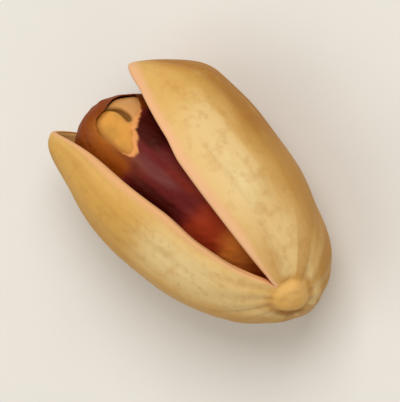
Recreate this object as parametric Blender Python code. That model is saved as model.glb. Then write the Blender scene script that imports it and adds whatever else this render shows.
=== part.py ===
"""A pistachio in its split shell, at real size in metres, lying with the wide side of the split upwards.

X runs along the nut from the stem end (-X) to the gaping tips (+X), Y runs across the two valves, Z is up.
The origin is on the table, under the middle of the nut.
"""

import bmesh
import bpy
import numpy as np

MM = 0.001

# The shell, closed, before its valves gape
LENGTH = 22.4 * MM
HALF_THICKNESS = 6.2 * MM
TOP_DEPTH = 6.2 * MM  # from the long axis up to the seam
BOTTOM_DEPTH = 6.5 * MM
WALL = 0.70 * MM
WALL_TAPER = 0.3  # the share of it that is gone at the tips
WALL_TAPER_FROM = 0.0
CAMBER = 0.5 * MM  # how far both ends lift off the table
TIP_BLUNTNESS = 2.4  # 2 is an ellipse, and more is a blunter end
STEM_BLUNTNESS = 2.6
THICKNESS_TAPER = {1: 0.28, -1: 0.6}  # the share of the fullness that the valve on +Y, or -Y, loses at its tip
THICKNESS_TAPER_FROM = {1: -0.3, -1: 0.5}  # the share of the half length where it starts to narrow
STEM_TAPER = {1: 0.22, -1: 0.08}  # the same at the stem end
STEM_TAPER_FROM = 0.5
DEPTH_TAPER = 0.40
DEPTH_TAPER_FROM = 0.2

# The split
SPREAD = {1: 0.14, -1: 0.165}  # how far a valve leans out, per length from the hinge line
HINGE_TOP_X = -9.6 * MM  # the hinge line leans, so the split is shorter on the underside
HINGE_BOTTOM_X = -4.0 * MM
SPREAD_START = 0.2 * MM  # how far ahead of the hinge line the two edges come apart
SPREAD_EASE = 0.8 * MM  # the length over which the split opens up from nothing
FLARE = {1: 1.25 * MM, -1: 0.5 * MM}  # how far a tip turns out on top of that
FLARE_FROM = {1: 0.55, -1: -0.1}
SETBACK = {1: -0.6 * MM, -1: 0.3 * MM}  # how far back a tip lies, or forward where it is less than 0

# The stem scar, a low round knob where the split starts
SCAR_X = -9.9 * MM
SCAR_RADIUS = 1.3 * MM
SCAR_HEIGHT = 0.4 * MM
SCAR_DIRECTION = np.array([-0.72, 0.0, 0.69])

# The spot that the nut rests on
FLAT_DEPTH = 0.20 * MM

# The kernel, which has slid towards the tips
KERNEL_LENGTH = 18.2 * MM
KERNEL_CENTRE_X = 1.40 * MM
KERNEL_HALF_THICKNESS = 4.65 * MM
KERNEL_HALF_DEPTH = 5.1 * MM
KERNEL_BLUNTNESS = 3.4
KERNEL_DEPTH_TAPER = 0.56
KERNEL_STEM_TAPER = 0.24  # it is egg-shaped, with its slimmer end at the stem
KERNEL_CAMBER = 0.35 * MM
KERNEL_LIFT = 0.6 * MM  # how much higher the end at the tips lies than the middle
KERNEL_TURN = 0.09  # how far it is turned towards the valve on +Y, per length
KERNEL_GROOVE = 0.28 * MM  # where its two halves meet, under the skin
KERNEL_GROOVE_WIDTH = 0.30  # in radians round the kernel
CLEARANCE = 0.55 * MM  # between the lowest points of the kernel and of the hollow under it

# Faces
SHELL_ROWS = 39
SHELL_COLUMNS = 17
KERNEL_ROWS = 27
KERNEL_COLUMNS = 28
WELD = 1e-6
SHARP_EDGE = np.radians(50)


def profile(along, stem_bluntness=STEM_BLUNTNESS, tip_bluntness=TIP_BLUNTNESS):
    """A body's fullness, from 0 at an end (along is -1 or 1) to 1 at the middle."""
    bluntness = np.where(along < 0, stem_bluntness, tip_bluntness)
    return np.sqrt(np.clip(1 - np.abs(along) ** bluntness, 0, None))


def narrowing(along, share, start):
    """1, and then less and less from that start to an end (along is 1), where that share is gone."""
    return 1 - share * np.clip((along - start) / (1 - start), 0, 1) ** 2


def closed_valve(side, wall):
    """Points of one closed valve, a wall's thickness inside the outer surface, in rows from the stem end to
    the tip. Each row runs from the upper seam over the side to the lower seam."""
    along = -np.cos(np.linspace(0, np.pi, SHELL_ROWS))[:, None]
    inset = wall * narrowing(along, WALL_TAPER, WALL_TAPER_FROM)
    angle = np.linspace(0, np.pi, SHELL_COLUMNS)[None, :]
    depth = np.where(np.cos(angle) > 0, TOP_DEPTH, BOTTOM_DEPTH) - inset
    thickness = HALF_THICKNESS - inset
    across = np.sin(angle)
    across[:, -1] = 0.0  # both valves meet exactly on the lower seam
    slimmer = narrowing(along, THICKNESS_TAPER[side], THICKNESS_TAPER_FROM[side])
    slimmer = slimmer * narrowing(-along, STEM_TAPER[side], STEM_TAPER_FROM)
    lower = narrowing(along, DEPTH_TAPER, DEPTH_TAPER_FROM)
    x = (LENGTH / 2 - inset) * along + 0 * angle
    y = side * thickness * profile(along) * slimmer * across
    z = depth * profile(along) * lower * np.cos(angle) + CAMBER * along**2
    return np.stack([x, y, z], axis=-1)


def gape(side, closed):
    """How far each point of a closed valve moves out. Nothing moves behind the hinge line."""
    x, z = closed[..., 0], closed[..., 2]
    lowered = (TOP_DEPTH - z) / (TOP_DEPTH + BOTTOM_DEPTH)
    ahead = x - HINGE_TOP_X - lowered * (HINGE_BOTTOM_X - HINGE_TOP_X)
    ahead = np.where(ahead < SPREAD_START, 0, ahead)
    eased = np.where(ahead < SPREAD_EASE, ahead**2 / (2 * SPREAD_EASE), ahead - SPREAD_EASE / 2)
    tip = np.clip((x / (LENGTH / 2) - FLARE_FROM[side]) / (1 - FLARE_FROM[side]), 0, 1)
    return SPREAD[side] * eased + FLARE[side] * tip**2


def with_scar(points):
    """The outer surface raised into the round knob of the stem scar."""
    height = TOP_DEPTH * profile(SCAR_X / (LENGTH / 2)) + CAMBER * (SCAR_X / (LENGTH / 2)) ** 2
    reach = np.linalg.norm(points - np.array([SCAR_X, 0.0, height]), axis=-1) / SCAR_RADIUS
    rise = np.clip(1.6 * (1.3 - reach), 0, 1)
    rise = rise * rise * (3 - 2 * rise)
    return points + SCAR_HEIGHT * rise[..., None] * SCAR_DIRECTION


def resting(points):
    """The outer surface with its lowest part flattened, to rest on."""
    points[..., 2] = np.maximum(points[..., 2], FLAT_DEPTH - BOTTOM_DEPTH)
    return points


def valve(side):
    """(outer points, inner points) of one gaping valve."""
    outer, inner = closed_valve(side, 0.0), closed_valve(side, WALL)
    moved_out = side * gape(side, outer)
    drawn_back = SETBACK[side] * np.clip(outer[..., 0] / (LENGTH / 2), 0, 1) ** 2
    outer = with_scar(resting(outer))
    for points in (outer, inner):
        points[..., 1] += moved_out
        points[..., 0] -= drawn_back
    return outer, inner


def grid_faces(rows, columns, first=0, closed=False):
    """The quads of a grid of points, whose columns join up again if it is closed."""
    ends = columns if closed else columns - 1
    row, column = np.meshgrid(np.arange(rows - 1), np.arange(ends), indexing="ij")
    after = (column + 1) % columns
    corners = [row * columns + column, row * columns + after]
    corners += [(row + 1) * columns + after, (row + 1) * columns + column]
    return np.stack(corners, axis=-1).reshape(-1, 4) + first


def rim_faces(column, first_outer, first_inner, notch):
    """The quads of a broken edge, from outer to inner surface, from the split's start to the tip."""
    row = np.arange(notch, SHELL_ROWS - 1)
    near, far = row * SHELL_COLUMNS + column, (row + 1) * SHELL_COLUMNS + column
    corners = [first_outer + near, first_outer + far, first_inner + far, first_inner + near]
    return np.stack(corners, axis=-1)


def solid(name, points, faces, material):
    """An object with one closed, smooth mesh. Points that coincide, as along a seam, are made one."""
    mesh = bpy.data.meshes.new(name)
    mesh.from_pydata(points.tolist(), [], faces.tolist())
    work = bmesh.new()
    work.from_mesh(mesh)
    bmesh.ops.remove_doubles(work, verts=work.verts, dist=WELD)
    bmesh.ops.recalc_face_normals(work, faces=work.faces)
    work.to_mesh(mesh)
    work.free()
    mesh.shade_smooth()
    mesh.set_sharp_from_angle(angle=SHARP_EDGE)
    mesh.materials.append(material)
    made = bpy.data.objects.new(name, mesh)
    bpy.context.scene.collection.objects.link(made)
    return made


def finish(name, colour, roughness):
    """A plain material of that colour."""
    material = bpy.data.materials.new(name)
    material.use_nodes = True
    shader = material.node_tree.nodes["Principled BSDF"]
    shader.inputs["Base Color"].default_value = (*colour, 1.0)
    shader.inputs["Roughness"].default_value = roughness
    shader.inputs["Metallic"].default_value = 0.0
    return material


def make_shell():
    """Both valves and the stem end that joins them, as one solid with the split cut through its wall."""
    points, faces, first = [], [], 0
    for side in (1, -1):
        outer, inner = valve(side)
        opening = gape(side, closed_valve(side, 0.0))
        count = SHELL_ROWS * SHELL_COLUMNS
        faces.append(grid_faces(SHELL_ROWS, SHELL_COLUMNS, first))
        faces.append(grid_faces(SHELL_ROWS, SHELL_COLUMNS, first + count)[:, ::-1])
        for column in (0, SHELL_COLUMNS - 1):
            notch = int(np.flatnonzero(opening[:, column] == 0)[-1])
            faces.append(rim_faces(column, first, first + count, notch))
        points += [outer.reshape(-1, 3), inner.reshape(-1, 3)]
        first += 2 * count
    shell_material = finish("shell", (0.74, 0.56, 0.30), 0.5)
    return solid("shell", np.concatenate(points), np.concatenate(faces), shell_material)


def make_kernel():
    """The seed in its skin: a blunt egg with a shallow groove round it, lying on the shell's inner floor."""
    along = -np.cos(np.linspace(0, np.pi, KERNEL_ROWS))[:, None]
    angle = np.linspace(0, 2 * np.pi, KERNEL_COLUMNS, endpoint=False)[None, :]
    fullness = profile(along, KERNEL_BLUNTNESS, KERNEL_BLUNTNESS)
    slimmer = 1 - KERNEL_STEM_TAPER * np.clip(-along, 0, 1) ** 2
    depth = KERNEL_HALF_DEPTH * fullness * slimmer * narrowing(along, KERNEL_DEPTH_TAPER, DEPTH_TAPER_FROM)
    groove = KERNEL_GROOVE * fullness * np.exp(-((np.sin(angle) / KERNEL_GROOVE_WIDTH) ** 2))
    lowest = CLEARANCE + WALL - BOTTOM_DEPTH
    x = KERNEL_CENTRE_X + KERNEL_LENGTH / 2 * along + 0 * angle
    y = KERNEL_HALF_THICKNESS * fullness * slimmer * np.sin(angle) + KERNEL_TURN * x
    z = (depth - groove) * np.cos(angle) + KERNEL_CAMBER * along**2 + KERNEL_LIFT * along
    z = z - z.min() + lowest
    points = np.stack([x, y, z], axis=-1).reshape(-1, 3)
    faces = grid_faces(KERNEL_ROWS, KERNEL_COLUMNS, closed=True)
    return solid("kernel", points, faces, finish("kernel_skin", (0.26, 0.055, 0.045), 0.4))


def stand_on_origin(shell, others):
    """Moves every piece alike, so that the origin is under the middle of the shell's box."""
    places = np.array([vertex.co for vertex in shell.data.vertices])
    low, high = places.min(axis=0), places.max(axis=0)
    for piece in (shell, *others):
        piece.location = (-(low[0] + high[0]) / 2, -(low[1] + high[1]) / 2, -low[2])


def main():
    for old in list(bpy.data.objects):
        bpy.data.objects.remove(old)
    shell = make_shell()
    kernel = make_kernel()
    stand_on_origin(shell, [kernel])


main()
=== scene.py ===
# %% [markdown]
# # A pistachio in its split shell
#
# A roasted pistachio is two things: a hard, thin, cream shell that has split along its seam into two valves,
# and a seed in a dark red skin that lies loose inside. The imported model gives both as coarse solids. This
# lesson dresses them: it works out the same shapes on fine grids, adds the small relief that a shell and a
# skin have, and paints each with a material made of nodes. All lengths are metres.

import bmesh
import bpy
import numpy as np
from mathutils import Matrix, Vector


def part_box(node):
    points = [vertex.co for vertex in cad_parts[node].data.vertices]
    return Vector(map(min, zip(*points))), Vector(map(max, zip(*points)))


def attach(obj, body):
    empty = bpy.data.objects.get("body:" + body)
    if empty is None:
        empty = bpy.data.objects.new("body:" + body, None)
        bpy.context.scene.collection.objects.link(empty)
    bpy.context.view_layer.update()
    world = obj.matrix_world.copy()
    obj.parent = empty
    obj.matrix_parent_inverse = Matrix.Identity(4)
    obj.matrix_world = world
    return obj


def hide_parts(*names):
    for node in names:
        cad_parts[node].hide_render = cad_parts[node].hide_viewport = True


MM = 0.001

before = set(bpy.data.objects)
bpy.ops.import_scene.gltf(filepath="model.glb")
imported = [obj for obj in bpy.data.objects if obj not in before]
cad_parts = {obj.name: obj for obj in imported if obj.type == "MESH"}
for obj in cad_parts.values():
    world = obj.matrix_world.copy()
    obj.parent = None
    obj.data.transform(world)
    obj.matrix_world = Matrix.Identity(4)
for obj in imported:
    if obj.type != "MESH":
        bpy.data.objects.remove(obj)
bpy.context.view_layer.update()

# %% [markdown]
# ## The nut's own measures
#
# A closed nut is a rounded body with a blunt stem end and a slimmer tip. The split then swings each half
# outwards about a leaning line near the stem. These are the same measures as in the solids, so the fine
# surfaces lie on the coarse ones. The solids stand on the table with the middle of their box over the origin,
# and the kernel's box tells how far they were moved for that.

# %% The measures of shell and kernel
LENGTH = 22.4 * MM
HALF_THICKNESS = 6.2 * MM
TOP_DEPTH = 6.2 * MM
BOTTOM_DEPTH = 6.5 * MM
WALL = 0.70 * MM
WALL_TAPER = 0.3
WALL_TAPER_FROM = 0.0
CAMBER = 0.5 * MM
TIP_BLUNTNESS = 2.4
STEM_BLUNTNESS = 2.6
THICKNESS_TAPER = {1: 0.28, -1: 0.6}
THICKNESS_TAPER_FROM = {1: -0.3, -1: 0.5}
STEM_TAPER = {1: 0.22, -1: 0.08}
STEM_TAPER_FROM = 0.5
DEPTH_TAPER = 0.40
DEPTH_TAPER_FROM = 0.2
SPREAD = {1: 0.14, -1: 0.165}
HINGE_TOP_X = -9.6 * MM
HINGE_BOTTOM_X = -4.0 * MM
SPREAD_START = 0.2 * MM
SPREAD_EASE = 0.8 * MM
FLARE = {1: 1.25 * MM, -1: 0.5 * MM}
FLARE_FROM = {1: 0.55, -1: -0.1}
SETBACK = {1: -0.6 * MM, -1: 0.3 * MM}
SCAR_X = -9.9 * MM
SCAR_RADIUS = 1.3 * MM
SCAR_HEIGHT = 0.4 * MM
SCAR_DIRECTION = np.array([-0.72, 0.0, 0.69])
FLAT_DEPTH = 0.20 * MM
KERNEL_LENGTH = 18.2 * MM
KERNEL_CENTRE_X = 1.40 * MM
KERNEL_HALF_THICKNESS = 4.65 * MM
KERNEL_HALF_DEPTH = 5.1 * MM
KERNEL_BLUNTNESS = 3.4
KERNEL_DEPTH_TAPER = 0.56
KERNEL_STEM_TAPER = 0.24
KERNEL_CAMBER = 0.35 * MM
KERNEL_LIFT = 0.6 * MM
KERNEL_TURN = 0.09
KERNEL_GROOVE = 0.28 * MM
KERNEL_GROOVE_WIDTH = 0.30
KERNEL_SOLID_ROWS = 27


def profile(along, stem_bluntness=STEM_BLUNTNESS, tip_bluntness=TIP_BLUNTNESS):
    """A body's fullness, sqrt(1 - |along|^bluntness): 0 at both ends and 1 at the middle."""
    bluntness = np.where(along < 0, stem_bluntness, tip_bluntness)
    return np.sqrt(np.clip(1 - np.abs(along) ** bluntness, 0, None))


def solid_kernel_middle():
    """The middle of the coarse kernel's box across the nut, before it was moved: halfway between the
    largest and the smallest of its half thickness at each row, plus and minus, on its slanting axis."""
    along = -np.cos(np.linspace(0, np.pi, KERNEL_SOLID_ROWS))
    half = KERNEL_HALF_THICKNESS * profile(along, KERNEL_BLUNTNESS, KERNEL_BLUNTNESS)
    half = half * (1 - KERNEL_STEM_TAPER * np.clip(-along, 0, 1) ** 2)
    axis = KERNEL_TURN * (KERNEL_CENTRE_X + KERNEL_LENGTH / 2 * along)
    return ((axis + half).max() + (axis - half).min()) / 2


kernel_low, kernel_high = (np.array(corner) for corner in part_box("kernel"))
place = (kernel_low + kernel_high) / 2 - (KERNEL_CENTRE_X, solid_kernel_middle(), 0)
place[2] = BOTTOM_DEPTH - FLAT_DEPTH
print("the nut was moved by", (place / MM).round(3), "mm")


# %% [markdown]
# ## Small helpers for shapes
#
# A surface here is a grid of points, one array of shape (rows, columns, 3). A few things are needed again and
# again: soft steps and bells to say where something begins and ends, the direction that is straight out of
# the surface at each point, and smooth random fields for hollows and ridges. Modifiers with a texture could
# make such relief too, but a formula on the whole array is exact, repeatable, and can follow the shell.

# %% Steps and bells
def ease(value):
    """0 below 0, 1 above 1, and the soft step 3v^2 - 2v^3 between."""
    value = np.clip(value, 0, 1)
    return value * value * (3 - 2 * value)


def ramp(value, start, end):
    """The soft step from 0, where the value is at start, to 1, where it is at end."""
    return ease((value - start) / (end - start))


def bell(value, centre, width):
    """1 at the centre and soon nothing beyond the width: exp(-((value - centre) / width)^2)."""
    return np.exp(-(((value - centre) / width) ** 2))


print("a ramp from 2 to 4 at 3:", ramp(3, 2, 4), "and a bell one width away:", round(float(bell(1, 0, 1)), 2))

# %% Normals, ripples and quads
WAVES = 30


def outward(points, middle):
    """Unit normals of a grid: the cross product of the steps along its columns and along its rows, turned
    to point away from the middle."""
    normal = np.cross(np.gradient(points, axis=0), np.gradient(points, axis=1))
    normal /= np.linalg.norm(normal, axis=-1, keepdims=True) + 1e-30
    sense = np.sign(np.sum(normal * (points - middle), axis=-1, keepdims=True))
    return normal * np.where(sense == 0, 1, sense)


def ripple(places, spacing, seed):
    """A smooth random field with a spread of 1: the sum of sine waves, each with its own way, length and
    phase, whose lengths lie round that spacing."""
    draw = np.random.default_rng(seed)
    ways = draw.normal(size=(WAVES, 3))
    ways *= 2 * np.pi / spacing * draw.uniform(0.6, 1.5, (WAVES, 1)) / np.linalg.norm(ways, axis=1)[:, None]
    phases = draw.uniform(0, 2 * np.pi, WAVES)
    return np.sqrt(2 / WAVES) * np.sin(places @ ways.T + phases).sum(axis=-1)


def rough(height, spacing, seed):
    """A function that gives, for any places, that height times the ripple of that spacing and seed."""
    return lambda places: height * ripple(places, spacing, seed)


def grid_faces(rows, columns, first=0, closed=False):
    """The quads of a grid of points, whose columns join up again if it is closed."""
    ends = columns if closed else columns - 1
    row, column = np.meshgrid(np.arange(rows - 1), np.arange(ends), indexing="ij")
    after = (column + 1) % columns
    corners = [row * columns + column, row * columns + after]
    corners += [(row + 1) * columns + after, (row + 1) * columns + column]
    return np.stack(corners, axis=-1).reshape(-1, 4) + first


print("a ripple's spread:", ripple(np.random.default_rng(1).normal(size=(999, 3)), 0.5, 7).std().round(2))


# %% [markdown]
# ## From points to a piece
#
# One function turns points and quads into an object. Points that coincide, on the seam and at the poles, are
# merged first, and only then are the faces turned outwards. Numbers that the material needs at each point,
# such as how near the broken edge is, go in as named attributes. Each finished piece rides on the nut's body.

# %% Make a piece
WELD = 2e-7


def make_piece(name, points, faces, attributes, node, slot):
    """An object with one closed, smooth mesh that stands for a node and rides on the nut."""
    mesh = bpy.data.meshes.new(name)
    mesh.from_pydata(points.tolist(), [], faces.tolist())
    for label, values in attributes.items():
        flat = np.asarray(values, dtype=np.float32)
        kind = "FLOAT_VECTOR" if flat.ndim == 2 else "FLOAT"
        layer = mesh.attributes.new(label, kind, "POINT")
        layer.data.foreach_set("vector" if flat.ndim == 2 else "value", flat.reshape(-1))
    work = bmesh.new()
    work.from_mesh(mesh)
    bmesh.ops.remove_doubles(work, verts=work.verts, dist=WELD)
    bmesh.ops.recalc_face_normals(work, faces=work.faces)
    work.to_mesh(mesh)
    open_edges = sum(not edge.is_manifold for edge in work.edges)
    volume = work.calc_volume(signed=True)
    work.free()
    mesh.shade_smooth()
    piece = bpy.data.objects.new(name, mesh)
    bpy.context.scene.collection.objects.link(piece)
    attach(piece, "root")
    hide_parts(node)
    triangles = sum(len(face.vertices) - 2 for face in mesh.polygons)
    print(name, triangles, "triangles,", open_edges, "open edges, volume", round(volume / MM**3, 1), "mm3")
    return piece


# %% [markdown]
# ## The shell, closed
#
# A pistachio opens along its seam, so each valve is first made closed, as half of a rounded body, and opened
# afterwards. Its fullness along the nut is one curve, and its outline across is a half ellipse. The rows are
# packed closer at both ends and the columns closer at both seams, where the edges are going to be rounded.

# %% One closed valve
SHELL_ROWS = 232
OUTER_COLUMNS = 112
INNER_COLUMNS = 56
EDGE_CROWDING = 0.84
END_CROWDING = 0.94


def narrowing(along, share, start):
    """1, and then less and less from that start to an end (along is 1), where that share is gone."""
    return 1 - share * np.clip((along - start) / (1 - start), 0, 1) ** 2


def crowded_angles(columns):
    """Angles from 0 at the upper seam to pi at the lower one, closer together near both."""
    step = np.linspace(0, 1, columns)
    return np.pi * (step - EDGE_CROWDING * np.sin(2 * np.pi * step) / (2 * np.pi))


def crowded_rows():
    """Places along the nut from -1 to 1, closer together near both: a cosine with a share of even steps."""
    step = np.linspace(0, 1, SHELL_ROWS)
    return -(END_CROWDING * np.cos(np.pi * step) + (1 - END_CROWDING) * (1 - 2 * step))[:, None]


def closed_valve(side, wall, angle):
    """Points of one closed valve, a wall's thickness inside the outer surface: x along, y = thickness
    sin(angle) and z = depth cos(angle), both times the fullness there."""
    along = crowded_rows()
    angle = angle[None, :]
    inset = wall * narrowing(along, WALL_TAPER, WALL_TAPER_FROM)
    depth = np.where(np.cos(angle) > 0, TOP_DEPTH, BOTTOM_DEPTH) - inset
    slimmer = narrowing(along, THICKNESS_TAPER[side], THICKNESS_TAPER_FROM[side])
    slimmer = slimmer * narrowing(-along, STEM_TAPER[side], STEM_TAPER_FROM)
    lower = narrowing(along, DEPTH_TAPER, DEPTH_TAPER_FROM)
    x = (LENGTH / 2 - inset) * along + 0 * angle
    y = side * (HALF_THICKNESS - inset) * profile(along) * slimmer * np.sin(angle)
    z = depth * profile(along) * lower * np.cos(angle) + CAMBER * along**2
    return np.stack([x, y, z], axis=-1)


outer_angles = crowded_angles(OUTER_COLUMNS)
steps = np.diff(outer_angles) * HALF_THICKNESS / MM
print("the columns start", steps[0].round(3), "mm apart and are up to", steps.max().round(2), "mm apart")


# %% [markdown]
# ## Opening the split
#
# Nothing moves behind the hinge line. Ahead of it each valve leans out in proportion to the distance, and its
# tip turns out a little more. The lower side opens later, because the hinge line leans.

# %% The gape
def gape(side, closed):
    """How far each point of a closed valve moves out: spread times the distance ahead of the hinge line,
    eased in, and a flare at the tip."""
    x, z = closed[..., 0], closed[..., 2]
    lowered = (TOP_DEPTH - z) / (TOP_DEPTH + BOTTOM_DEPTH)
    ahead = x - HINGE_TOP_X - lowered * (HINGE_BOTTOM_X - HINGE_TOP_X)
    ahead = np.where(ahead < SPREAD_START, 0, ahead)
    eased = np.where(ahead < SPREAD_EASE, ahead**2 / (2 * SPREAD_EASE), ahead - SPREAD_EASE / 2)
    tip = np.clip((x / (LENGTH / 2) - FLARE_FROM[side]) / (1 - FLARE_FROM[side]), 0, 1)
    return SPREAD[side] * eased + FLARE[side] * tip**2


for side, name in ((1, "+Y"), (-1, "-Y")):
    wide = gape(side, closed_valve(side, 0.0, outer_angles))[:, 0].max()
    print("the valve on", name, "opens by up to", (wide / MM).round(2), "mm at its upper edge")


# %% [markdown]
# ## The shell's relief
#
# A real shell is smooth but not plain. It has shallow hollows, faint ridges that run from end to end, and
# deeper ridges that gather at the stem. There the stalk left a round scar, a low lumpy knob with a shallow
# crease round it. The seam shows as a fine line behind the split. All of it is one height for each point, so
# it is raised along the normals in one go.

# %% Where the scar is, and the ridges' own coordinates
SCAR_CENTRE = np.array([
    SCAR_X,
    0.0,
    TOP_DEPTH * profile(SCAR_X / (LENGTH / 2)) + CAMBER * (SCAR_X / (LENGTH / 2)) ** 2,
])
RIDGE_STRETCH = 9.0


def grain_of(points, side, angle):
    """Coordinates that change fast across the ridges and slowly along them, in millimetres: the point on
    the unit circle that the angle gives, times the nut's half thickness, and x, stretched."""
    across = HALF_THICKNESS / MM * np.sin(angle) * side + 0 * points[..., 0]
    upright = HALF_THICKNESS / MM * np.cos(angle) + 0 * points[..., 0]
    return np.stack([points[..., 0] / MM / RIDGE_STRETCH, across, upright], axis=-1)


def from_scar(points):
    """(distance from the scar's middle in scar radii, turn round its axis as a point on the unit circle)."""
    away = points - SCAR_CENTRE
    axis = SCAR_DIRECTION / np.linalg.norm(SCAR_DIRECTION)
    flat = away - (away @ axis)[..., None] * axis
    turn = flat / (np.linalg.norm(flat, axis=-1, keepdims=True) + 1e-9)
    return np.linalg.norm(away, axis=-1) / SCAR_RADIUS, turn


print("the scar's middle is at", (SCAR_CENTRE / MM).round(2), "mm in the closed nut")

# %% The height of the relief
hollows = rough(height=0.05 * MM, spacing=6.5, seed=11)
ridges = rough(height=0.020 * MM, spacing=1.1, seed=12)
stem_ridges = rough(height=0.065 * MM, spacing=0.55, seed=13)
knob_lumps = rough(height=0.035 * MM, spacing=1.0, seed=14)
knob_outline = rough(height=0.08, spacing=1.8, seed=21)
crease_changes = rough(height=0.35, spacing=1.2, seed=22)
CREASE = 0.085 * MM
CREASE_SHARE = 0.65
CREASE_REACH = 1.24
CREASE_WIDTH = 0.22
SEAM_LINE = 0.05 * MM
SEAM_WIDTH = 0.16 * MM


def knob_reach(reach, turn):
    """The distance from the scar, stretched or shrunk by some per cent with the turn, so that the knob's
    outline isn't a circle."""
    return reach * (1 + knob_outline(turn))


def relief(points, grain, edge, opened):
    """Height over the plain shell: hollows + ridges, stronger and turned to the scar near the stem, a crease
    round the scar's lumpy knob, and a groove along the seam where it is still closed."""
    reach, turn = from_scar(points)
    uneven = knob_reach(reach, turn)
    at_tip = ramp(points[..., 0] / (LENGTH / 2), 1.0, 0.88)
    height = hollows(points / MM)
    height += ridges(grain) * ramp(reach, 3.0, 6.0) * at_tip
    height += stem_ridges(turn) * ramp(reach, 5.6, 2.0) * ramp(uneven, 0.85, 1.45)
    height -= CREASE * bell(uneven, CREASE_REACH, CREASE_WIDTH) * (CREASE_SHARE + crease_changes(turn))
    height += knob_lumps(points / MM) * ramp(uneven, 1.5, 0.5)
    return height - SEAM_LINE * bell(edge, 0, SEAM_WIDTH) * (1 - opened) * ramp(uneven, 1.1, 1.5)


print("hollows at three places:", (hollows(np.eye(3)) / MM).round(3), "mm")

# %% [markdown]
# ## Rounded and worn edges
#
# The split leaves two broken edges on each valve, worn a little round. A Bevel modifier would need to know
# the edge and fights with the pole at the tip. On the closed valve the edge is simply where y is 0, so the
# surface is pulled in by a quarter circle over the last 0.3 mm, and not at all where the seam is still shut.
# Part of each upper edge is also worn back by some tenths of a millimetre, so the split isn't an even wedge.

# %% Rounding, wear and the flat that the nut rests on
OUTER_ROUNDING = 0.34 * MM
INNER_ROUNDING = 0.24 * MM
ROUNDED_AT_GAPE = 0.22 * MM
REST_SOFTNESS = 0.02 * MM
WORN_BACK = {1: 0.38 * MM, -1: 0.25 * MM}
WORN_REACH = 1.3 * MM
WORN_AT_GAPE = 0.6 * MM


def worn_back(side, closed, seam_gape):
    """How far the upper edge is worn back from the seam: on +Y along the stem's half of the split, on -Y
    along the tip's half, and less and less away from the edge."""
    along = closed[..., 0] / (LENGTH / 2)
    if side > 0:
        worn = ramp(along, 0.10, -0.25) * ramp(seam_gape, 0, WORN_AT_GAPE)
    else:
        worn = ramp(along, 0.22, 0.42) * ramp(along, 0.97, 0.77)
    return WORN_BACK[side] * worn * np.exp(-np.abs(closed[..., 1]) / WORN_REACH) * (closed[..., 2] > 0)


def rounding(edge, radius):
    """How far a rounded edge lies below the plain surface: radius - sqrt(radius^2 - (radius - edge)^2)."""
    inside = np.clip(radius - edge, 0, None)
    return radius - np.sqrt(np.clip(radius**2 - inside**2, 0, None))


def soft_floor(height, floor):
    """The larger of both, with a small fillet where they meet: the mean plus half of the softened gap."""
    gap = height - floor
    return floor + (gap + np.sqrt(gap**2 + REST_SOFTNESS**2)) / 2 - REST_SOFTNESS / 2


lower = rounding(0.1 * MM, 0.3 * MM)
print("0.1 mm from its end, an edge rounded by 0.3 mm lies", (lower / MM).round(3), "mm lower")

# %% Where the shell is golden, tawny and pink, with painted shade on the flanks and below the knob and a painted highlight on the shoulders
EDGE_BAND = {1: 0.75 * MM, -1: 1.15 * MM}
NO_EDGE = 9.0
# Which way from the knob the painted shade below it lies.
KNOB_SHADE_WAY = np.array([-0.49, 0.72, -0.49])


def shell_tones(side, along):
    """(how golden, how tawny on the flank) a valve is along its length. The tawny flank is partly the shell's
    own colour and partly painted shade where the flank turns away from the light. The valve on +Y is golden
    from its middle to its tip and a little at the stem. The one on -Y is golden only towards its tip, and
    tawnier."""
    if side > 0:
        return 0.35 + 0.60 * ramp(along, -0.1, 0.25), 0.45 + 0 * along
    return 0.85 * ramp(along, 0.15, 0.65), 0.72 + 0.28 * ramp(along, -0.25, 0.15)


def edge_band(side, along, seam_gape):
    """How wide the pink band beside the broken edge is: it widens with the gape, and on +Y it is half as
    wide at the tip."""
    band = EDGE_BAND[side] * (0.3 + 0.7 * ramp(seam_gape, 0, MM))
    return band * (1 - 0.5 * ramp(along, 0.55, 0.85)) if side > 0 else band


print("golden at the tips:", [shell_tones(side, 1.0)[0] for side in (1, -1)])

# %% One gaping valve
lining_waves = rough(height=0.03 * MM, spacing=4.0, seed=15)
EDGE_CALM = 0.8
EDGE_CALM_REACH = 0.5 * MM
KNOB_FOOT = 1.3
KNOB_TOP = 0.675


def valve_normals(points):
    """Normals that lie in the seam's plane at the seams and along the nut at its ends, so both valves'
    points still meet there."""
    normal = outward(points, np.zeros(3))
    normal[:, [0, -1], 1] = 0
    normal[0], normal[-1] = (-1, 0, 0), (1, 0, 0)
    return normal / np.linalg.norm(normal, axis=-1, keepdims=True)


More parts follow.
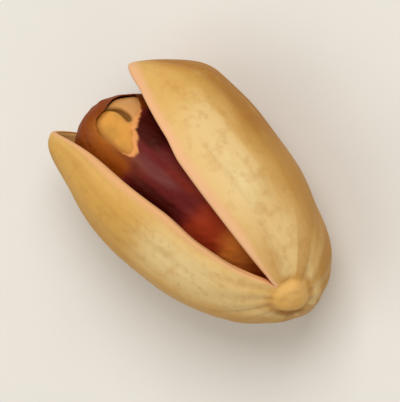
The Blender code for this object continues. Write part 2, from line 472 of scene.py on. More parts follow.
def valve(side, outside):
    """(points, attributes, the seam's gape) of the outer or the inner surface of one valve."""
    angle = crowded_angles(OUTER_COLUMNS if outside else INNER_COLUMNS)
    skin = closed_valve(side, 0.0, angle)
    points = skin if outside else closed_valve(side, WALL, angle)
    normal = valve_normals(points)
    along, around, edge = skin[..., 0] / (LENGTH / 2), angle / np.pi, np.abs(points[..., 1])
    moved_out = gape(side, skin)
    seam_gape = np.where(np.cos(angle)[None, :] > 0, moved_out[:, :1], moved_out[:, -1:])
    opened = ramp(seam_gape, 0, ROUNDED_AT_GAPE)
    grain = grain_of(points, side, angle[None, :])
    reach, turn = from_scar(points)
    if outside:
        calmed = 1 - EDGE_CALM * opened * np.exp(-edge / EDGE_CALM_REACH)
        height = relief(points, grain, edge, opened) * calmed - rounding(edge, OUTER_ROUNDING * opened)
        points = points + normal * height[..., None]
        rise = ramp(knob_reach(reach, turn), KNOB_FOOT, KNOB_TOP)
        points += SCAR_HEIGHT * rise[..., None] * SCAR_DIRECTION
        points[..., 2] = soft_floor(points[..., 2], FLAT_DEPTH - BOTTOM_DEPTH)
    else:
        height = lining_waves(points / MM) + rounding(edge, INNER_ROUNDING * opened)
        points = points + normal * height[..., None]
    points[..., 1] += side * (moved_out + worn_back(side, skin, seam_gape))
    points[..., 0] -= SETBACK[side] * np.clip(along, 0, 1) ** 2
    gold, tawny = shell_tones(side, along)
    attributes = {
        "grain": grain,
        "edge": np.where(opened > 0, edge / edge_band(side, along, seam_gape), NO_EDGE),
        "inside": np.full(edge.shape, 0.0 if outside else 1.0),
        "scar": reach,
        "turn": turn,
        "around": np.broadcast_to(around, edge.shape),
        "gold": gold,
        # How tawny the flank is: partly the shell's own colour, partly painted shade.
        "tawny": tawny,
        # Where painted shade lies in the crease below the knob.
        "spot": ramp(turn @ KNOB_SHADE_WAY, 0.70, 0.95) * bell(reach, 1.25, 0.40),
        # Where the painted highlight lies, on the upper shoulders that face the light.
        "pale": bell(along, -0.22, 0.29) * bell(around, 0.15, 0.09),
        "pale_edge": np.full(edge.shape, 0.0 if side > 0 else 1.0),
    }
    return points + place, attributes, seam_gape


print("a valve's outer surface is a grid of", valve(1, outside=True)[0].shape)

# %% The shell's whole surface
RIM_STRIPS = 5


def rim(outer, inner, column, notch):
    """Points across the broken edge, in rows from the split's start to the tip: from the outer surface to
    the inner one in equal steps."""
    step = np.linspace(0, 1, RIM_STRIPS)[None, :, None]
    return outer[notch:, column, None] * (1 - step) + inner[notch:, column, None] * step


def shell_surface():
    """(points, quads, attributes) of both valves, their inner sides and the broken edges."""
    points, faces, layers, first = [], [], [], 0
    for side in (1, -1):
        outer, outer_layers, opening = valve(side, outside=True)
        inner, inner_layers, _ = valve(side, outside=False)
        sheets = [(outer, outer_layers), (inner, inner_layers)]
        for column in (0, -1):
            notch = int(np.flatnonzero(opening[:, column] == 0)[-1])
            strip = rim(outer, inner, column, notch)
            values = {key: np.repeat(v[notch:, column][:, None], RIM_STRIPS, axis=1)
                      for key, v in outer_layers.items()}
            values["edge"] = np.zeros(strip.shape[:2])
            values["inside"] = np.broadcast_to(np.linspace(0, 1, RIM_STRIPS), strip.shape[:2])
            sheets.append((strip, values))
        for grid, values in sheets:
            rows, columns = grid.shape[:2]
            points.append(grid.reshape(-1, 3))
            faces.append(grid_faces(rows, columns, first))
            layers.append({key: np.reshape(v, (rows * columns, -1)) for key, v in values.items()})
            first += rows * columns
    attributes = {key: np.concatenate([part[key] for part in layers]) for key in layers[0]}
    attributes = {key: v if v.shape[1] == 3 else v[:, 0] for key, v in attributes.items()}
    return np.concatenate(points), np.concatenate(faces), attributes


shell = make_piece("shell_valves", *shell_surface(), node="shell", slot="shell")


# %% [markdown]
# ## The kernel
#
# The seed is a blunt egg with a shallow groove round it. It is worked out from directions: each direction of
# a unit ball gives one point of the egg. That lets the grid have its poles anywhere, and here the pole is put
# in the middle of the torn place at its end, so the torn edge of the skin is one line of the grid.

# %% The egg for a direction
END_SWELL = 0.25 * MM
SIDE_SWELL = 0.12 * MM
TORN_POLE = np.array([0.728, -0.145, 0.670])
TORN_START = np.array([-0.598, 0.345, 0.724])
TORN_SIDE = np.cross(TORN_POLE, TORN_START)


def egg(ball):
    """The kernel's point for each direction of a unit ball: x = half length times the ball's x, and the
    ball's y and z times half thickness and half depth, filled out towards blunt ends. The end at the gape
    is swollen a little further out and towards +Y."""
    along = np.clip(ball[..., 0], -1, 1)
    ring = np.sqrt(np.clip(1 - along**2, 1e-12, None))
    fullness = profile(along, KERNEL_BLUNTNESS, KERNEL_BLUNTNESS)
    fuller = np.where(ring > 1e-5, fullness / ring, np.sqrt(KERNEL_BLUNTNESS / 2))
    slimmer = 1 - KERNEL_STEM_TAPER * np.clip(-along, 0, 1) ** 2
    lower = narrowing(along, KERNEL_DEPTH_TAPER, DEPTH_TAPER_FROM)
    groove = KERNEL_GROOVE * fullness * bell(ball[..., 1] / ring, 0, KERNEL_GROOVE_WIDTH)
    swollen = ramp(along, 0.45, 0.95)
    x = KERNEL_CENTRE_X + KERNEL_LENGTH / 2 * along + END_SWELL * swollen
    y = KERNEL_HALF_THICKNESS * fuller * slimmer * ball[..., 1] + KERNEL_TURN * x + SIDE_SWELL * swollen
    z = (KERNEL_HALF_DEPTH * fuller * slimmer * lower - groove / ring) * ball[..., 2]
    z += KERNEL_CAMBER * along**2 + KERNEL_LIFT * along
    return np.stack([x, y, z], axis=-1)


def ball_from(polar, turn):
    """Directions by their angle from the torn place's middle and their turn round it."""
    start, side = (np.sin(polar) * np.cos(turn))[..., None], (np.sin(polar) * np.sin(turn))[..., None]
    return np.cos(polar)[..., None] * TORN_POLE + start * TORN_START + side * TORN_SIDE


lying = egg(ball_from(*np.meshgrid(np.linspace(0, np.pi, 90), np.linspace(0, 2 * np.pi, 120), indexing="ij")))
kernel_place = np.array([place[0], place[1], kernel_low[2] - lying[..., 2].min()])
print("the kernel's lowest point is", (kernel_low[2] / MM).round(2), "mm above the table")

# %% [markdown]
# ## The torn edge
#
# Roasting dries the skin, and where it catches on the shell it tears. The tear is a rounded hole at the
# kernel's end, with one blunt point towards the middle of the nut. Along one side the skin has curled up to a
# pale lip, and along the other it lies flat and thin. A short list of distances round the hole is enough for
# its outline. They are joined by straight runs and then averaged over some degrees, so that no corner stays,
# with some small teeth on top.

# %% The tear
TEAR_TURNS = [0, 12, 24, 40, 59, 81, 102, 118, 131, 144, 157,
              165, 172, 180, 194, 221, 250, 285, 327, 345, 360]
TEAR_REACH = [20.8, 19.6, 16.8, 14.2, 12.2, 12.6, 16.0, 22.0, 28.0, 34.0, 42.0,
              40.5, 29.0, 19.5, 16.8, 15.9, 13.6, 11.6, 13.0, 17.0, 20.8]
TEAR_AVERAGED = 17
LIP_TURN = np.radians(60)
THIN_TURN = np.radians(290)
teeth = rough(height=0.50, spacing=0.42, seed=34)
small_teeth = rough(height=0.30, spacing=0.15, seed=35)


def facing(turn, middle):
    """1 on the side of the hole round that turn, and 0 opposite: a soft step of the turn's cosine."""
    return ramp(np.cos(turn - middle), -0.1, 0.8)


def tear(turn):
    """How far the hole reaches at each turn, in radians from its middle. It has small uneven teeth, most of
    them on the lip's side."""
    degrees = np.arange(-90, 450)
    reach = np.interp(degrees % 360, TEAR_TURNS, TEAR_REACH)
    reach = np.convolve(reach, np.ones(TEAR_AVERAGED) / TEAR_AVERAGED, mode="same")
    circle = np.stack([np.cos(turn), np.sin(turn), 0 * turn], axis=-1)
    uneven = (teeth(circle) + small_teeth(circle)) * (0.35 + 0.65 * facing(turn, LIP_TURN))
    return np.radians(np.interp(np.degrees(turn) % 360, degrees, reach) + uneven)


reaches = np.degrees(tear(np.radians([0, 90, 180, 270])))
print("the hole reaches", reaches.round(1), "degrees to its four sides")


# %% Where the skin has which tone
def skin_tones(ball):
    """Where the skin is mauve, tan, dark, red and amber, each from 0 to 1: mauve on the ridge behind the
    tear, a painted highlight; tan all over the end and along its +Y side; dark beside both edges of the split
    and in a patch beside the ridge, partly dark skin and partly painted shade where the valves' edges shade
    it; and red and then amber towards the stem, the amber lightened as painted light bounced into the slit."""
    x, y = ball[..., 0], ball[..., 1]
    # Dark beside the split's edges and beside the ridge: partly dark skin, partly painted shade.
    dark = ramp(y, -0.20, -0.38) * ramp(x, 0.16, 0.46)
    dark = dark + 0.74 * ramp(y, 0.08, 0.20) * ramp(x, 0.45, 0.30) * ramp(x, -0.28, -0.03)
    dark = dark * (1 - 0.85 * ramp(x, 0.56, 0.68)) + 0.55 * bell(y, 0.05, 0.08) * bell(x, 0.38, 0.06)
    return {
        # A painted highlight on the ridge behind the tear.
        "mauve": bell(y, -0.07, 0.12) * ramp(x, -0.15, 0.15) * ramp(x, 0.55, 0.35),
        "tan": np.maximum(ramp(y, -0.02, 0.18) * ramp(x, 0.32, 0.47), ramp(x, 0.59, 0.73)),
        "dark": dark,
        "red": np.maximum(ramp(x, -0.05, -0.40), 0.45 * ramp(y, -0.02, -0.22) * ramp(x, 0.35, 0.05)),
        # Amber towards the stem, lightened as painted bounced light.
        "amber": ramp(x, -0.40, -0.70),
    }


top_tones = skin_tones(np.array([0.0, 0.0, 1.0]))
print("tones on top of the kernel:", {key: round(float(v), 2) for key, v in top_tones.items()})

# %% The skin's surface
SKIN_ROWS = 170
SKIN_COLUMNS = 240
SKIN_CROWDING = 1.35
INNER_ROW_STEP = 4
SKIN_THICKNESS = 0.09 * MM
FLAT_CURL = 0.06 * MM
LIP_CURL = 0.24 * MM
CURL_FADE = 0.10
FOLD_STRETCH = np.array([1.4, 6.0, 6.0])
folds = rough(height=0.022 * MM, spacing=1.3, seed=31)
lumps = rough(height=0.03 * MM, spacing=3.2, seed=32)
wrinkles = rough(height=0.008 * MM, spacing=0.7, seed=33)


def torn_edge(past_edge, turn):
    """Layers that fade away from the torn edge: its pale lip, which is 1 mm wide at most, and how thin the
    skin is opposite the lip."""
    lip = facing(turn, LIP_TURN)
    return {
        "torn": past_edge / (0.030 + 0.025 * lip) + 1.3 * (1 - lip),
        "thin": np.exp(-past_edge / CURL_FADE) * facing(turn, THIN_TURN),
    }


def skin_surface():
    """(points, quads, attributes) of the skin: an outer and an inner sheet from the torn edge back to the
    far pole, joined along the edge. The edge curls up by an exponential of the distance from it."""
    turn = np.linspace(0, 2 * np.pi, SKIN_COLUMNS, endpoint=False)[None, :]
    start = tear(turn)
    polar = start + (np.pi - start) * np.linspace(0, 1, SKIN_ROWS)[:, None] ** SKIN_CROWDING
    ball = ball_from(polar, turn + 0 * polar)
    plain = egg(ball)
    normal = outward(plain, np.array([KERNEL_CENTRE_X, 0, 0]))
    past_edge, lip = polar - start, facing(turn, LIP_TURN)
    height = (FLAT_CURL + LIP_CURL * lip) * np.exp(-past_edge / CURL_FADE)
    height += folds(ball * FOLD_STRETCH) + lumps(plain / MM) + wrinkles(plain / MM)
    thickness = SKIN_THICKNESS * (0.35 + 0.65 * ramp(past_edge, 0, 0.05))
    outer = plain + normal * height[..., None]
    inner_rows = np.arange(0, SKIN_ROWS, INNER_ROW_STEP)
    inner_rows[-1] = SKIN_ROWS - 1
    inner = (outer - normal * thickness[..., None])[inner_rows]
    outer[-1], inner[-1] = outer[-1].mean(axis=0), inner[-1].mean(axis=0)
    points = np.concatenate([outer.reshape(-1, 3), inner.reshape(-1, 3)]) + kernel_place
    first = SKIN_ROWS * SKIN_COLUMNS
    column = np.arange(SKIN_COLUMNS)
    after = (column + 1) % SKIN_COLUMNS
    edge_quads = np.stack([column, after, first + after, first + column], axis=-1)
    faces = [grid_faces(SKIN_ROWS, SKIN_COLUMNS, 0, closed=True)]
    faces += [grid_faces(len(inner_rows), SKIN_COLUMNS, first, closed=True), edge_quads]
    layers = {**skin_tones(ball), "ball": ball, **torn_edge(past_edge, turn), "underside": 0 * past_edge}
    inner_layers = {key: value[inner_rows] for key, value in layers.items()}
    inner_layers["underside"] = inner_layers["underside"] + lip
    attributes = {}
    for key, value in layers.items():
        shape = (-1, 3) if value.ndim == 3 else (-1,)
        attributes[key] = np.concatenate([value.reshape(shape), inner_layers[key].reshape(shape)])
    return points, np.concatenate(faces), attributes


skin = make_piece("kernel_skin", *skin_surface(), node="kernel", slot="kernel")

# %% [markdown]
# ## The flesh
#
# Under the skin lie the two seed leaves, golden after roasting. They are modelled as the same egg, a little
# smaller. In the middle of the torn place one leaf shows as a round dome. The cleft between it and the other
# leaf follows a circle that has its own centre, on the dome's upper side, and the other leaf lies beyond.

# %% The flesh's surface
FLESH_ROWS = 190
FLESH_COLUMNS = 200
FLESH_CROWDING = 1.5
FLESH_INSET = 0.16 * MM
COVERED_INSET = 0.10 * MM
CLEFT_CENTRE = np.array([0.822, -0.090, 0.562])
CLEFT_WAY = np.array([0.146, -0.921, -0.361])
CLEFT_REACH = np.radians(16.5)
CLEFT_WIDTH = np.radians(2.9)
CLEFT_DEPTH = 0.5 * MM
FAR_LEAF_DROP = 0.10 * MM
BARE_REACH = 0.9
BROWN_BORDER_WIDTH = np.radians(7.0)
cleft_waver = rough(height=0.012, spacing=0.5, seed=42)
leaf_dents = rough(height=0.03 * MM, spacing=1.8, seed=41)


def cleft_and_leaf(ball):
    """(the cleft, the far leaf), each from 0 to 1: a bell and a soft step of the distance from a circle
    round the cleft's centre, both only on the side that CLEFT_WAY points to."""
    from_centre = np.arccos(np.clip(ball @ CLEFT_CENTRE, -1, 1))
    side = ramp(ball @ CLEFT_WAY / (np.sin(from_centre) + 1e-6), 0.42, 0.90)
    from_cleft = (from_centre - CLEFT_REACH + cleft_waver(ball)) / CLEFT_WIDTH
    return side * bell(from_cleft, 0, 1), side * ease(from_cleft)


def flesh_surface():
    """(points, quads, attributes) of the flesh: the egg drawn in under the skin and a little more where the
    skin covers it, less the cleft and the far leaf's drop. It is marked brown along the hole's edge."""
    turn = np.linspace(0, 2 * np.pi, FLESH_COLUMNS, endpoint=False)[None, :]
    polar = np.pi * np.linspace(0, 1, FLESH_ROWS)[:, None] ** FLESH_CROWDING
    ball = ball_from(polar + 0 * turn, turn + 0 * polar)
    plain = egg(ball)
    normal = outward(plain, np.array([KERNEL_CENTRE_X, 0, 0]))
    cleft, far_leaf = cleft_and_leaf(ball)
    bare = np.exp(-((polar / BARE_REACH) ** 4))
    under_skin = polar - tear(turn)
    height = leaf_dents(plain / MM) * bare - CLEFT_DEPTH * cleft - FAR_LEAF_DROP * far_leaf * bare
    height -= FLESH_INSET + COVERED_INSET * ramp(under_skin, 0.06, 0.16)
    points = plain + normal * height[..., None]
    points[0], points[-1] = points[0].mean(axis=0), points[-1].mean(axis=0)
    # Brown along the hole's edge, on the side away from the lip and not on the far leaf.
    brown_border = ramp(-under_skin, BROWN_BORDER_WIDTH, 0) * (1 - facing(turn, LIP_TURN)) * (1 - far_leaf)
    attributes = {
        "brown_border": brown_border.reshape(-1),
        "cleft": cleft.reshape(-1),
        "far_leaf": far_leaf.reshape(-1),
    }
    faces = grid_faces(FLESH_ROWS, FLESH_COLUMNS, 0, closed=True)
    return points.reshape(-1, 3) + kernel_place, faces, attributes


flesh = make_piece("kernel_flesh", *flesh_surface(), node="kernel", slot="kernel")


# %% [markdown]
# ## Materials as expressions
#
# A material is a tree of nodes, and wiring each sum by hand hides what it does. One small class wraps a
# node's output so that Python's own operators add the Math nodes, and one method adds any other node.

# %% A wrapped socket
class Wire:
    """A node's output. Operators on it add Math nodes, so 1 - mask * 0.5 is written as it reads."""

    def __init__(self, tree, socket):
        self.tree, self.socket = tree, socket

    def node(self, kind, settings=None, sockets=None, output=0):
        """Adds a node to the tree: its settings first, then numbers or wires into its sockets."""
        made = self.tree.nodes.new(kind)
        for key, value in (settings or {}).items():
            setattr(made, key, value)
        for key, value in (sockets or {}).items():
            if isinstance(value, Wire):
                self.tree.links.new(value.socket, made.inputs[key])
            elif isinstance(value, tuple) and made.inputs[key].type == "RGBA":
                made.inputs[key].default_value = (*value, 1.0)
            else:
                made.inputs[key].default_value = value
        return Wire(self.tree, made.outputs[output])

    def maths(self, operation, first, second):
        """One Math node on two values, each a wire or a number."""
        return self.node("ShaderNodeMath", {"operation": operation}, {0: first, 1: second})

    def __add__(self, other):
        return self.maths("ADD", self, other)

    def __radd__(self, other):
        return self.maths("ADD", other, self)

    def __sub__(self, other):
        return self.maths("SUBTRACT", self, other)

    def __rsub__(self, other):
        return self.maths("SUBTRACT", other, self)

    def __mul__(self, other):
        return self.maths("MULTIPLY", self, other)

    def __rmul__(self, other):
        return self.maths("MULTIPLY", other, self)

    def step(self, low, high):
        """0 where the wire is at low, 1 where it is at high, and a soft step between."""
        settings = {"interpolation_type": "SMOOTHSTEP"}
        limits = {"From Min": min(low, high), "From Max": max(low, high)}
        rising = {"To Min": 0.0 if low < high else 1.0, "To Max": 1.0 if low < high else 0.0}
        return self.node("ShaderNodeMapRange", settings, {"Value": self, **limits, **rising})

    def mix(self, first, second):
        """The first colour where the wire is 0, and the second where it is 1."""
        return self.node("ShaderNodeMix", {"data_type": "RGBA"}, {0: self, 6: first, 7: second}, output=2)


def srgb(red, green, blue):
    """A colour named by its usual 0 to 255 numbers, as the linear numbers that shaders use."""
    value = np.array([red, green, blue]) / 255
    linear = np.where(value <= 0.04045, value / 12.92, ((value + 0.055) / 1.055) ** 2.4)
    return tuple(float(v) for v in linear)


print("a cream in linear numbers:", [round(v, 3) for v in srgb(232, 208, 150)])


# %% A material with what its patterns start from
class Finish:
    """A new material, with the few inputs that its patterns start from."""

    def __init__(self, name):
        self.material = bpy.data.materials.new(name)
        self.material.use_nodes = True
        self.tree = self.material.node_tree
        self.shader = self.tree.nodes["Principled BSDF"]
        where = self.tree.nodes.new("ShaderNodeTexCoord")
        self.place = Wire(self.tree, where.outputs["Object"])

    def place_x(self):
        """The place along the nut."""
        return self.place.node("ShaderNodeSeparateXYZ", None, {0: self.place})

    def attribute(self, name, vector=False):
        """A number, or a vector, that the mesh has at each point."""
        return self.place.node("ShaderNodeAttribute", {"attribute_name": name}, output=1 if vector else 2)

    def noise(self, where, scale, detail=3.0, roughness=0.55, distortion=0.0):
        """Cloudy noise around 0.5, with that many waves to a unit of length."""
        values = {"Vector": where, "Scale": scale, "Detail": detail, "Roughness": roughness}
        return self.place.node("ShaderNodeTexNoise", None, {**values, "Distortion": distortion})

    def spots(self, where, scale):
        """The distance to the nearest of many scattered points, 0 in the middle of each spot."""
        return self.place.node("ShaderNodeTexVoronoi", None, {"Vector": where, "Scale": scale})

    def give(self, socket, value):
        """Puts a wire or a constant on the shader's own socket."""
        if isinstance(value, Wire):
            self.tree.links.new(value.socket, self.shader.inputs[socket])
        else:
            self.shader.inputs[socket].default_value = value

    def bump(self, height, distance, strength, under=None):
        """Normals for a relief too fine for the mesh, on top of another bump if one is given."""
        values = {"Height": height, "Distance": distance, "Strength": strength}
        if under is not None:
            values["Normal"] = under
        return self.place.node("ShaderNodeBump", None, values)


# %% [markdown]
# ## The shell's finish
#
# The shell is cream. It turns golden and tawny down its flanks and towards its tips; on the flanks that is
# partly its own colour and partly painted shade where they turn away from the light. A paler band on the
# upper shoulders is a painted highlight. Faint streaks follow the ridges, with a touch of olive between them,
# and there are small mottles and pin-sized specks. Darker lines run like a fan to the stem's knob. The crease
# round the knob and a spot below it are painted brown as shade. The broken edge is thicker, so it scatters
# more light and looks pinkish. Inside, the brown lining towards the stem is lightened as painted light that
# bounces into the slit. A painted picture could carry all this, but masks that follow the shape, with noises
# on top, stay sharp from any distance.

# %% Shell colours
CREAM = srgb(230, 199, 138)
WARM_CREAM = srgb(228, 187, 117)
GOLD = srgb(214, 165, 82)
# A painted highlight for the upper shoulders.
SHOULDER_HIGHLIGHT = srgb(236, 217, 166)
# A tawny brown: partly the shell's own colour, partly painted shade on the flanks that turn away from the
# light.
TAWNY_AND_SHADE = srgb(172, 116, 38)
OLIVE = srgb(200, 162, 84)
STAIN = srgb(186, 132, 58)
SPECK = srgb(128, 88, 40)
EDGE_PINK = srgb(230, 174, 126)
EDGE_PALE = srgb(238, 184, 144)
INNER_TAN = srgb(222, 172, 104)
# The lining's roasted brown near the stem, lightened as painted light bounced into the narrow slit.
INNER_BROWN_AND_BOUNCE = srgb(232, 156, 78)
SCAR_GOLD = srgb(224, 170, 86)
# Painted shade in the crease round the knob and below it.
SCAR_SHADE_BROWN = srgb(146, 92, 30)
SHELL_ROUGHNESS = 0.48
SHELL_SPECULAR = 0.28
SHELL_SHINE = (1.0, 0.90, 0.74)
STREAK_BUMP = 0.04 * MM
PORE_BUMP = 0.03 * MM

# How much each mark hides what lies under it, from 0 to 1
COVER = {
    "gold flank and shade": 0.7, "olive": 0.5, "painted shoulder highlight": 0.6, "fine streaks": 0.16, "fan lines": 0.6,
    "between lines": 0.38, "mottles": 0.26, "specks": 0.14, "crease": 0.4, "spot": 0.75, "warm edge": 0.45,
    "pink edge": 0.8,
}
print(len(COVER), "kinds of marks lie on the shell")


# %% The shell's ground colour
def shell_ground(look, broad, streaks, patches):
    """The shell's colour before its small marks: cream, golden and tawny down the flanks and towards the
    tips, partly its own colour and partly painted shade on the flanks, olive between the streaks, and a
    painted highlight on the upper shoulder. The borders wander with the noises."""
    around = look.attribute("around") + (streaks - 0.5) * 0.18 + (broad - 0.5) * 0.12
    colour = (broad * 0.5 + streaks * 0.5).step(0.46, 0.66).mix(CREAM, WARM_CREAM)
    colour = (look.attribute("gold") + (broad - 0.5) * 0.9).step(0.15, 0.95).mix(colour, GOLD)
    # Golden and then tawny down the flanks: partly the shell's own colour and partly painted shade where the
    # flanks turn away from the light.
    colour = (around.step(0.18, 0.36) * COVER["gold flank and shade"]).mix(colour, GOLD)
    flank = around.step(0.25, 0.42) * around.step(0.98, 0.7)
    colour = (flank * look.attribute("tawny")).mix(colour, TAWNY_AND_SHADE)
    colour = (patches.step(0.48, 0.70) * streaks.step(0.40, 0.55) * COVER["olive"]).mix(colour, OLIVE)
    # A painted highlight on the upper shoulders.
    return (look.attribute("pale") * COVER["painted shoulder highlight"]).mix(colour, SHOULDER_HIGHLIGHT)


# %% The shell's whole finish
def shell_finish():
    """The shell's material: the ground, then streaks, the fan at the stem, mottles and specks, then the knob
    with painted shade in its crease and below it, the pink edge, and the brown lining, lightened as painted
    bounced light towards the stem."""
    look = Finish("pistachio_shell")
    grain = look.attribute("grain", vector=True)
    edge, reach = look.attribute("edge"), look.attribute("scar")
    broad = look.noise(look.place, scale=170.0, detail=2.0)
    patches = look.noise(look.place, scale=480.0, detail=4.0, roughness=0.6)
    streaks = look.noise(grain, scale=0.42, detail=2.0, roughness=0.45)
    fine_streaks = look.noise(grain, scale=1.5, detail=3.0, roughness=0.5)
    fan = look.noise(look.attribute("turn", vector=True), scale=2.6, detail=1.5, roughness=0.45)
    mottle = look.noise(look.place, scale=1100.0, detail=3.0, roughness=0.6)

    colour = shell_ground(look, broad, streaks, patches)
    colour = (fine_streaks.step(0.52, 0.72) * COVER["fine streaks"]).mix(colour, STAIN)
    near_stem = reach.step(6.4, 2.2) * reach.step(0.7, 1.5)
    colour = (near_stem * fan.step(0.50, 0.60) * COVER["fan lines"]).mix(colour, STAIN)
    colour = (near_stem * fan.step(0.48, 0.36) * COVER["between lines"]).mix(colour, CREAM)
    colour = (mottle.step(0.48, 0.66) * COVER["mottles"]).mix(colour, STAIN)
    specks = look.spots(look.place, scale=950.0).step(0.26, 0.08)
    specks = specks * look.noise(look.place, scale=300.0, detail=1.0).step(0.52, 0.62)
    colour = (specks * COVER["specks"]).mix(colour, SPECK)

    knob = reach.step(1.75, 1.15)
    colour = (knob * (0.3 + 0.75 * patches)).mix(colour, SCAR_GOLD)
    # Painted shade in the crease round the knob, and below the knob.
    crease = reach.step(0.95, 1.25) * reach.step(1.75, 1.3) * patches.step(0.36, 0.56)
    colour = (crease * COVER["crease"]).mix(colour, SCAR_SHADE_BROWN)
    colour = (look.attribute("spot") * COVER["spot"]).mix(colour, SCAR_SHADE_BROWN)
    colour = (edge.step(2.6, 1.0) * COVER["warm edge"]).mix(colour, WARM_CREAM)
    band = look.attribute("pale_edge").mix(EDGE_PINK, EDGE_PALE)
    colour = (edge.step(1.10, 0.40) * COVER["pink edge"]).mix(colour, band)
    lined = look.attribute("inside").step(0.45, 0.95)
    # Towards the stem the lining turns to the brown with painted bounced light.
    lining = look.place_x().step(4 * MM, -6 * MM).mix(INNER_TAN, INNER_BROWN_AND_BOUNCE)
    look.give("Base Color", lined.mix(colour, lining))
    look.give("Roughness", SHELL_ROUGHNESS + 0.14 * patches + 0.06 * fine_streaks)
    look.give("Specular IOR Level", SHELL_SPECULAR)
    look.give("Specular Tint", (*SHELL_SHINE, 1.0))
    pores = look.noise(look.place, scale=2600.0, detail=3.0, roughness=0.6)
    coarse = look.bump(fine_streaks * (1 - lined), STREAK_BUMP, 0.5)
    look.give("Normal", look.bump(pores, PORE_BUMP, 0.3, under=coarse))
    return look.material


shell.data.materials.append(shell_finish())
print("shell nodes:", len(shell.data.materials[0].node_tree.nodes))

# %% [markdown]
# ## The skin's finish
#
# The kernel's skin is thin, dry and satin. It is dark red along the middle, and nearly black beside the edges
# of the split, partly its own colour and partly painted shade where the valves' edges shade it. On the ridge
# behind the tear it is mauve, a painted highlight. Towards the stem it is brick red and then amber, the amber
# lightened as painted light bounced into the slit, and it is tan at the end. Along the tear it is pale where
# the curled lip shows its inside, and brown where it lies thin.
# The tones are soft masks from the shape, and a noise makes their borders wander.

# %% Skin colours
PURPLE = srgb(104, 29, 30)
# A painted highlight on the ridge behind the tear.
MAUVE_HIGHLIGHT = srgb(116, 57, 56)
# Nearly black: partly the skin's own dark red, partly painted shade beside the split's edges.
NEAR_BLACK_AND_SHADE = srgb(60, 8, 2)
RED = srgb(166, 58, 28)
# The skin's amber towards the stem, lightened as painted light bounced into the narrow slit.
AMBER_AND_BOUNCE = srgb(250, 150, 62)
TAN = srgb(134, 60, 2)
VEIN = srgb(84, 20, 16)
THIN = srgb(196, 122, 44)
LIP = srgb(232, 160, 96)
SKIN_ROUGHNESS = 0.38
SKIN_SPECULAR = 0.13
SKIN_SHINE = (1.0, 0.72, 0.58)
VEIN_STRETCH = (0.5, 1.0, 1.0)
VEIN_BUMP = 0.10 * MM
FIBRE_BUMP = 0.04 * MM
PAINTS = {"mauve": MAUVE_HIGHLIGHT, "red": RED, "amber": AMBER_AND_BOUNCE, "tan": TAN, "dark": NEAR_BLACK_AND_SHADE}
VEIN_COVER = 0.6
TONE_COVER = 0.92
THIN_COVER = 0.55


def skin_finish():
    """The skin's material: the tones one over the other, veins along it and a pale torn edge."""
    look = Finish("pistachio_skin")
    ball = look.attribute("ball", vector=True)
    veins_at = look.place.node("ShaderNodeMapping", None, {"Vector": ball, "Scale": VEIN_STRETCH})
    veins = look.noise(veins_at, scale=9.0, detail=4.0, roughness=0.55, distortion=0.5)
    blotches = look.noise(look.place, scale=420.0, detail=4.0, roughness=0.6)
    wander = (blotches - 0.5) * 0.7
    colour = (veins.step(0.50, 0.70) * VEIN_COVER).mix(PURPLE, VEIN)
    # Among the tones, the mauve is a painted highlight, the dark partly painted shade and the amber partly
    # painted bounced light.
    for tone, paint in PAINTS.items():
        colour = ((look.attribute(tone) + wander).step(0.1, 0.9) * TONE_COVER).mix(colour, paint)
    colour = (look.attribute("thin") * THIN_COVER).mix(colour, THIN)
    colour = look.attribute("torn").step(1.25, 0.55).mix(colour, LIP)
    colour = look.attribute("underside").mix(colour, LIP)
    look.give("Base Color", colour)
    look.give("Roughness", SKIN_ROUGHNESS + 0.20 * veins)
    look.give("Specular IOR Level", SKIN_SPECULAR)
    look.give("Specular Tint", (*SKIN_SHINE, 1.0))
    fibres = look.noise(veins_at, scale=34.0, detail=3.0, roughness=0.6)
    coarse = look.bump(veins, VEIN_BUMP, 0.5)
    look.give("Normal", look.bump(fibres, FIBRE_BUMP, 0.4, under=coarse))
    return look.material


skin.data.materials.append(skin_finish())
print("skin nodes:", len(skin.data.materials[0].node_tree.nodes))

# %% [markdown]
# ## The flesh's finish
#
# Roasted flesh is golden orange with a little green showing through, and slightly waxy. It is brown along the
# hole's thin side and paler beyond the cleft. The cleft is painted olive as the shadow that the lifted skin
# casts into it.

# %% Flesh colours
FLESH_GOLD = srgb(222, 156, 64)
FLESH_GREEN = srgb(190, 138, 52)
FLESH_PALE = srgb(210, 152, 90)
# Painted shadow of the lifted skin in the cleft.
CLEFT_SHADOW_OLIVE = srgb(120, 74, 12)
FLESH_BROWN = srgb(170, 100, 32)
GREEN_COVER = 0.7
BROWN_BORDER_COVER = 0.75
FAR_LEAF_COVER = 0.8
CLEFT_SHADOW_COVER = 0.9
FLESH_ROUGHNESS = 0.42
GRAIN_BUMP = 0.04 * MM


def flesh_finish():
    """The flesh's material: gold, mottled with green, brown along the hole's thin side, paler on the far leaf
    and painted olive in the cleft as shadow.
    """
    look = Finish("pistachio_flesh")
    mottle = look.noise(look.place, scale=520.0, detail=4.0, roughness=0.55)
    colour = (mottle.step(0.44, 0.68) * GREEN_COVER).mix(FLESH_GOLD, FLESH_GREEN)
    colour = (look.attribute("brown_border") * BROWN_BORDER_COVER).mix(colour, FLESH_BROWN)
    colour = (look.attribute("far_leaf") * FAR_LEAF_COVER).mix(colour, FLESH_PALE)
    # Painted shadow in the cleft.
    colour = (look.attribute("cleft").step(0.10, 0.70) * CLEFT_SHADOW_COVER).mix(colour, CLEFT_SHADOW_OLIVE)
    look.give("Base Color", colour)
    look.give("Roughness", FLESH_ROUGHNESS + 0.15 * mottle)
    grainy = look.noise(look.place, scale=2200.0, detail=3.0, roughness=0.6)
    look.give("Normal", look.bump(grainy, GRAIN_BUMP, 0.4))
    return look.material


flesh.data.materials.append(flesh_finish())
print("flesh nodes:", len(flesh.data.materials[0].node_tree.nodes))

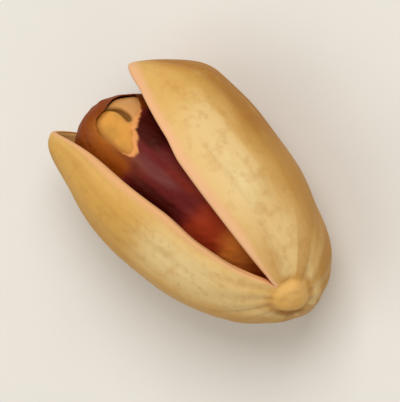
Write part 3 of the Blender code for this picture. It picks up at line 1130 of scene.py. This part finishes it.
# %% [markdown]
# ## Camera, light and table
#
# The nut lies on a plain pale table and is seen from above, leaning a few degrees, through a long lens. One
# large soft light comes from beyond the picture's upper edge, as from a window. A weaker one from the left
# and a pale warm sky fill the shadows.

# %% The camera
PITCH, ROLL, TURN = np.radians([8.0, 12.0, 136.4])
DISTANCE = 0.42
VIEW_WIDTH = 0.0293
AIM = Vector((0.0, 0.00055, 0.0063))
SENSOR = 36.0

view = Vector((-np.tan(PITCH), -np.tan(ROLL), 1.0)).normalized()
along_nut = Vector((1.0, 0.0, 0.0))
along_nut = (along_nut - view * along_nut.dot(view)).normalized()
right = Matrix.Rotation(-TURN, 3, view) @ along_nut
up = view.cross(right)
spot = AIM + view * DISTANCE
camera_data = bpy.data.cameras.new("camera")
camera_data.sensor_width = SENSOR
camera_data.lens = SENSOR * DISTANCE / VIEW_WIDTH
camera = bpy.data.objects.new("camera", camera_data)
bpy.context.scene.collection.objects.link(camera)
camera.matrix_world = Matrix((
    (right.x, up.x, view.x, spot.x),
    (right.y, up.y, view.y, spot.y),
    (right.z, up.z, view.z, spot.z),
    (0, 0, 0, 1),
))
bpy.context.scene.camera = camera
bpy.context.scene.view_settings.view_transform = "Standard"
print("lens", round(camera_data.lens), "mm at", DISTANCE, "m")

# %% The lights
WINDOW_COLOUR = (1.0, 0.97, 0.93)
FILL_COLOUR = (1.0, 0.97, 0.92)
SKY_COLOUR = (1.0, 0.93, 0.80, 1.0)
SKY_STRENGTH = 0.42


def soft_light(name, way, distance, size, power, colour):
    """A square area light that shines back along that way at the nut."""
    data = bpy.data.lights.new(name, "AREA")
    data.size = size
    data.energy = power
    data.color = colour
    light = bpy.data.objects.new(name, data)
    bpy.context.scene.collection.objects.link(light)
    way = way.normalized()
    light.location = AIM + way * distance
    light.rotation_mode = "QUATERNION"
    light.rotation_quaternion = way.to_track_quat("Z", "Y")
    print("the", name, "is a light of", power, "W and", size, "m at", distance, "m")


window_way = up * 0.5 + view * 1.0 - right * 0.1
fill_way = view * 0.8 - right * 0.9 - up * 0.3
soft_light("window", window_way, distance=0.5, size=0.30, power=1.45, colour=WINDOW_COLOUR)
soft_light("fill", fill_way, distance=0.6, size=0.5, power=0.85, colour=FILL_COLOUR)
sky = bpy.data.worlds.new("sky")
sky.use_nodes = True
background = sky.node_tree.nodes["Background"]
background.inputs["Color"].default_value = SKY_COLOUR
background.inputs["Strength"].default_value = SKY_STRENGTH
bpy.context.scene.world = sky

# %% The table
TABLE_HALF = 0.5
TABLE_WHITE = srgb(236, 235, 232)
TABLE_GREY = srgb(228, 228, 227)
TABLE_ROUGHNESS = 0.7
table_mesh = bpy.data.meshes.new("table")
corners = np.array([[-1, -1, 0], [1, -1, 0], [1, 1, 0], [-1, 1, 0]]) * TABLE_HALF
table_mesh.from_pydata(corners.tolist(), [], [[0, 1, 2, 3]])
table = bpy.data.objects.new("table", table_mesh)
bpy.context.scene.collection.objects.link(table)
table_look = Finish("pale_table")
clouds = table_look.noise(table_look.place, scale=90.0, detail=4.0, roughness=0.6)
table_look.give("Base Color", clouds.mix(TABLE_WHITE, TABLE_GREY))
table_look.give("Roughness", TABLE_ROUGHNESS)
table_mesh.materials.append(table_look.material)
print("the table is", 2 * TABLE_HALF, "m wide")
